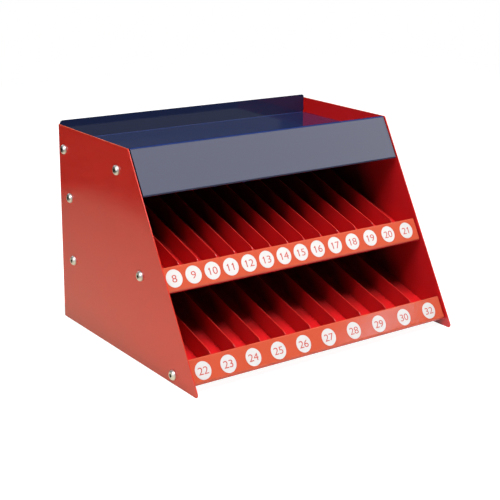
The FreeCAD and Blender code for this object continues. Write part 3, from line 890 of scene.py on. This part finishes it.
def flag_ones(shape, words):
    """Gives each 1 a short slanting stroke, because the font draws it as a plain bar."""
    slant = Matrix.Rotation(math.atan2(FLAG_DROP, FLAG_REACH), 3, "Z")
    length = math.hypot(FLAG_REACH, FLAG_DROP)
    for letter, figure in zip(words, separate_figures(shape)):
        if letter != "1":
            continue
        start = min(vert.co.x for vert in figure)
        bar = max(vert.co.x for vert in figure) - start
        top = max(vert.co.y for vert in figure)
        flag = bmesh.ops.create_cube(shape, size=1.0)["verts"]
        bmesh.ops.scale(shape, verts=flag, vec=(length, FLAG_WIDTH * bar, 2 * INK_THICK))
        bmesh.ops.rotate(shape, verts=flag, cent=(0, 0, 0), matrix=slant)
        x = start + 0.5 * (bar - FLAG_REACH)
        y = top - 0.5 * FLAG_DROP - FLAG_BELOW_TOP * bar
        bmesh.ops.translate(shape, verts=flag, vec=(x, y, 0))


print("flag of a 1:", round(FLAG_REACH / MM, 1), "by", round(FLAG_DROP / MM, 1), "mm")

# %% [markdown]
# A label is a disc of vinyl two tenths of a millimetre thick: a circle that is filled and extruded
# under the figures. The ink sinks into the film, so that no gap shows between them.

# %% One label
INK_LIFT = 0.2 * INK_THICK  # the middle of the ink above the film
LABEL_SIDES = 64


def size_label(row, number, x, z):
    """A white disc with red figures, stuck on the lip."""
    shape = bmesh.new()
    mesh = figures_mesh(str(number))
    shape.from_mesh(mesh)
    bpy.data.meshes.remove(mesh)
    bmesh.ops.remove_doubles(shape, verts=shape.verts, dist=TINY)
    bmesh.ops.scale(shape, verts=shape.verts, vec=(FIGURE_WIDEN, 1, 1))
    flag_ones(shape, str(number))
    centred = (0, -FIGURE_HEIGHT / 2, LABEL_THICK + INK_LIFT)
    bmesh.ops.translate(shape, verts=shape.verts, vec=centred)
    for face in shape.faces:
        face.material_index = 1
    ink_faces = set(shape.faces)
    bmesh.ops.create_circle(shape, cap_ends=True, segments=LABEL_SIDES, radius=LABEL_RADIUS)
    disc = [face for face in shape.faces if face not in ink_faces]
    raised = bmesh.ops.extrude_face_region(shape, geom=disc)
    top = [item for item in raised["geom"] if isinstance(item, bmesh.types.BMVert)]
    bmesh.ops.translate(shape, verts=top, vec=(0, 0, LABEL_THICK))
    for face in shape.faces:
        if face not in ink_faces:
            face.material_index = 0
    bmesh.ops.recalc_face_normals(shape, faces=shape.faces)
    bmesh.ops.transform(shape, matrix=lip_matrix(row, x, z), verts=shape.verts)
    piece = place_piece(f"size_label_{number:02d}", shape, label_film, label_ink)
    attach(piece, BODY)
    return piece


print("label:", round(2 * LABEL_RADIUS / MM, 1), "mm across,", LABEL_SIDES, "sides")

# %% Stick on the labels
labels = []
for row, (z, numbers) in LABEL_ROWS.items():
    for number, x in zip(numbers, bay_centres(row, len(numbers))):
        labels.append(size_label(row, number, x, z))
print("labels:", len(labels), "from", labels[0].name, "to", labels[-1].name)

# %% [markdown]
# ## The ground
#
# The rack stands on a white sheet on a table. The ground is white to the camera through Light
# Path's Is Camera Ray, and a little diffuse light is added there for the rack's shadow. Gloss sees
# the sheet too, but only as far as the sheet goes: past its edges the studio is dark, and that is
# why the paint is deep red at the top of the side panel and paler below. Other light only meets a
# plain pale floor.

# %% What gloss sees of the sheet
SHEET_MIDDLE = (0.21, -0.12, 0)
SHEET_HALF = {"X": 0.83, "Y": 0.98}  # half its width and depth
SHEET_FADE = 0.05  # how soft its edges look in the gloss
SHEET_NEAR = 0.3  # distance from the rack's middle where the sheet is brightest in the gloss
SHEET_FAR = 1.05  # and where it is dimmest
NEAR_SHINE = 0.94
FAR_SHINE = 0.42
WARM_SHEET = (1.0, 0.90, 0.66, 1)  # on the left, where the red panel tints it
COOL_SHEET = (1.0, 0.97, 0.95, 1)
TINT_HALF = 0.2  # the tint changes between this far left and this far right


def on_sheet(tree, place):
    """1 on the white sheet, fading to 0 over its edges."""
    moved = split_axes(tree, vector_math(tree, "SUBTRACT", place, SHEET_MIDDLE))
    inside = []
    for axis, half in SHEET_HALF.items():
        away = add_math(tree, "ABSOLUTE", moved[axis])
        inside.append(mask(tree, away, half + SHEET_FADE, half - SHEET_FADE))
    return add_math(tree, "MULTIPLY", *inside)


def sheet_shine(tree, place):
    """What gloss sees of the sheet: warm on the left, and dimmer far from the rack."""
    distance = vector_math(tree, "LENGTH", place, output="Value")
    strength = remap(tree, distance, SHEET_NEAR, SHEET_FAR, NEAR_SHINE, FAR_SHINE)
    rightness = mask(tree, split_axes(tree, place)["X"], -TINT_HALF, TINT_HALF)
    tint = mix_colours(tree, rightness, WARM_SHEET, COOL_SHEET)
    return add_node(tree, "ShaderNodeEmission", Color=tint, Strength=strength)


print("sheet:", *(round(2 * half, 2) for half in SHEET_HALF.values()), "m in the gloss")

# %% Ground
GROUND_HALF = 2.2
CAMERA_GLOW = 0.96
FLOOR_GREY = (0.8, 0.8, 0.8, 1)
SHADOW_GREY = (0.3, 0.3, 0.3, 1)  # how strongly the shadow shows to the camera
WHITE = (1, 1, 1, 1)
BLACK = (0, 0, 0, 1)


def join_shaders(tree, kind, first, second, **sockets):
    """A mix or sum of two shaders."""
    joined = add_node(tree, kind, **sockets)
    inputs = [socket for socket in joined.inputs if socket.type == "SHADER"]
    tree.links.new(first.outputs[0], inputs[0])
    tree.links.new(second.outputs[0], inputs[1])
    return joined


def white_ground():
    """A pale diffuse floor that glows white to the camera and, on the sheet, to gloss."""
    material = bpy.data.materials.new("white_sheet")
    material.use_nodes = True
    tree = material.node_tree
    tree.nodes.clear()
    place = tree.nodes.new("ShaderNodeTexCoord").outputs["Object"]
    path = tree.nodes.new("ShaderNodeLightPath").outputs

    dark = add_node(tree, "ShaderNodeEmission", Color=BLACK, Strength=0.0)
    shine = sheet_shine(tree, place)
    mirrored = join_shaders(
        tree, "ShaderNodeMixShader", dark, shine, Fac=on_sheet(tree, place)
    )
    floor = add_node(tree, "ShaderNodeBsdfDiffuse", Color=FLOOR_GREY)
    to_gloss = join_shaders(
        tree, "ShaderNodeMixShader", floor, mirrored, Fac=path["Is Glossy Ray"]
    )
    shadow = add_node(tree, "ShaderNodeBsdfDiffuse", Color=SHADOW_GREY)
    glow = add_node(tree, "ShaderNodeEmission", Color=WHITE, Strength=CAMERA_GLOW)
    seen = join_shaders(tree, "ShaderNodeAddShader", shadow, glow)
    to_camera = join_shaders(
        tree, "ShaderNodeMixShader", to_gloss, seen, Fac=path["Is Camera Ray"]
    )
    out = tree.nodes.new("ShaderNodeOutputMaterial")
    tree.links.new(to_camera.outputs[0], out.inputs["Surface"])
    return material


ground_shape = bmesh.new()
bmesh.ops.create_grid(ground_shape, x_segments=1, y_segments=1, size=GROUND_HALF)
ground = place_piece("ground", ground_shape, white_ground())
print("ground:", 2 * GROUND_HALF, "m across, white to the camera")

# %% [markdown]
# ## The room
#
# Everything behind the ground is white to the camera, and the room gives no light of its own. Only
# gloss sees it: bright on the left, dark on the right in front of the lips, and dim towards the
# rear.

# %% Room
LEFT_TO_RIGHT = (-0.15, 0.15)  # the X of the directions between which the room gets dark
LEFT_ROOM = 0.8
RIGHT_ROOM = 0.03
FRONT_TO_REAR = (0.3, 0.55)  # and the Y of those between which it gets dim
REAR_SHARE = 0.1


def studio_room():
    """A world that is white to the camera, uneven to gloss and black to other light."""
    world = bpy.data.worlds.new("studio")
    world.use_nodes = True
    tree = world.node_tree
    tree.nodes.clear()
    heading = split_axes(tree, tree.nodes.new("ShaderNodeTexCoord").outputs["Generated"])
    left_light = remap(tree, heading["X"], *LEFT_TO_RIGHT, LEFT_ROOM, RIGHT_ROOM)
    front_share = remap(tree, heading["Y"], *FRONT_TO_REAR, 1.0, REAR_SHARE)
    room_light = add_math(tree, "MULTIPLY", left_light, front_share)
    path = tree.nodes.new("ShaderNodeLightPath").outputs
    gloss_light = add_math(tree, "MULTIPLY", room_light, path["Is Glossy Ray"])
    room = add_node(tree, "ShaderNodeBackground", Color=WHITE, Strength=gloss_light)
    white = add_node(tree, "ShaderNodeBackground", Color=WHITE, Strength=1.0)
    shown = join_shaders(tree, "ShaderNodeMixShader", room, white, Fac=path["Is Camera Ray"])
    out = tree.nodes.new("ShaderNodeOutputWorld")
    tree.links.new(shown.outputs[0], out.inputs["Surface"])
    return world


bpy.context.scene.world = studio_room()
print("room:", bpy.context.scene.world.name)

# %% [markdown]
# ## Lamps
#
# The strongest soft box is almost straight above, so the shelves shade what is under them. It is
# kept out of the gloss, where it would burn out. Two boxes above the front light the lips and the
# dividers' front ends, a low one lights the left panel, a small low one on the right throws the
# shade line across the tray, and a weak one keeps the rear readable.
#
# The cards only show in the gloss. One on the ceiling gives the tray and the shelves a soft shine,
# and one gives the tray's front its pale shine. A small one makes the glare at the right end of the
# lower lip, and it is blue-green so that the red lip turns it nearly white. A wide one far in front
# is what the tray's floor sees by way of its rear wall.

# %% Lamps
RACK_MIDDLE = (0, 0, 0.15)
LAMP_REACH = 2.1  # metres from the rack's middle


def soft_box(name, place, target, width, height, power, roll=0.0):
    """A rectangular lamp at a place, aimed at a target."""
    lamp = bpy.data.lights.new(name, "AREA")
    lamp.shape = "RECTANGLE"
    lamp.size = width
    lamp.size_y = height
    lamp.energy = power
    obj = bpy.data.objects.new(name, lamp)
    obj.location = place
    aim = (Vector(target) - Vector(place)).to_track_quat("-Z", "Y").to_matrix()
    obj.rotation_euler = (aim @ Matrix.Rotation(math.radians(roll), 3, "Z")).to_euler()
    bpy.context.scene.collection.objects.link(obj)
    return obj


def lamp_round(name, azimuth, elevation, power, size):
    """A soft box at an azimuth from the front (right is plus) and an elevation."""
    turn, rise = math.radians(azimuth), math.radians(elevation)
    place = (
        LAMP_REACH * math.cos(rise) * math.sin(turn),
        -LAMP_REACH * math.cos(rise) * math.cos(turn),
        RACK_MIDDLE[2] + LAMP_REACH * math.sin(rise),
    )
    return soft_box(name, place, RACK_MIDDLE, size, size, power)


def gloss_card(name, place, target, size, brightness, roll=0.0, colour=(1, 1, 1)):
    """A card that only gloss sees; brightness 1 looks white."""
    width, height = size
    power = brightness * math.pi * width * height
    card = soft_box(name, place, target, width, height, power, roll)
    card.data.color = colour
    card.visible_diffuse = False
    return card


top_box = lamp_round("top_box", azimuth=0, elevation=82, power=45, size=0.55)
top_box.visible_glossy = False
lamp_round("front_left_box", azimuth=-20, elevation=62, power=19, size=0.5)
lamp_round("front_right_box", azimuth=25, elevation=65, power=15, size=0.5)
lamp_round("left_box", azimuth=-80, elevation=25, power=9.5, size=0.85)
lamp_round("right_box", azimuth=92, elevation=21.4, power=20, size=0.15)
lamp_round("rear_box", azimuth=180, elevation=25, power=8, size=0.85)
gloss_card("ceiling_card", (0, -0.3, 2.2), RACK_MIDDLE, (1.2, 1.2), brightness=1.0)
gloss_card(
    "fascia_card",
    (0.872, -0.894, 1.111),
    (0, -0.06, 0.26),
    (0.93, 0.325),
    brightness=2.95,
    roll=-30,
    colour=(1, 0.97, 0.96),
)
gloss_card(
    "lip_card",
    (1.567, -1.656, 0.972),
    (0.1, -0.16, 0.03),
    (0.27, 0.12),
    brightness=2.5,
    roll=7,
    colour=(0.3, 1.0, 1.2),
)
gloss_card("far_card", (0.875, -2.09, 0.70), (0.04, 0.1, 0.27), (1.73, 0.55), brightness=1.0)
